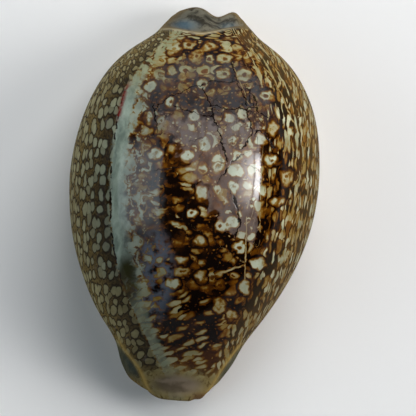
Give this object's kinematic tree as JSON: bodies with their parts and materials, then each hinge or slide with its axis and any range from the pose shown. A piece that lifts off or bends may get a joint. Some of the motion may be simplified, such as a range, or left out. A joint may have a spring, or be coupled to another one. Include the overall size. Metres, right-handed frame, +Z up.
{
  "type": "cowrie shell",
  "caption": "Hollow egg-shaped sea shell with a glossy domed back and a flat base split end to end by a toothed slit.",
  "frame": {"origin": "in the plane of the base, under the middle of the shell's box", "axes": "+Y towards the broad back end, +X towards the inner lip side, +Z up through the domed back"},
  "size_m": [0.0472, 0.075, 0.0375],
  "materials": {
    "polished_shell": "natural glossy shell enamel, brown with pale greenish spots, a pale line down the back and grey-blue ends"
  },
  "bodies": {
    "root": {"cowrie_shell": "polished_shell"}
  },
  "joints": []
}
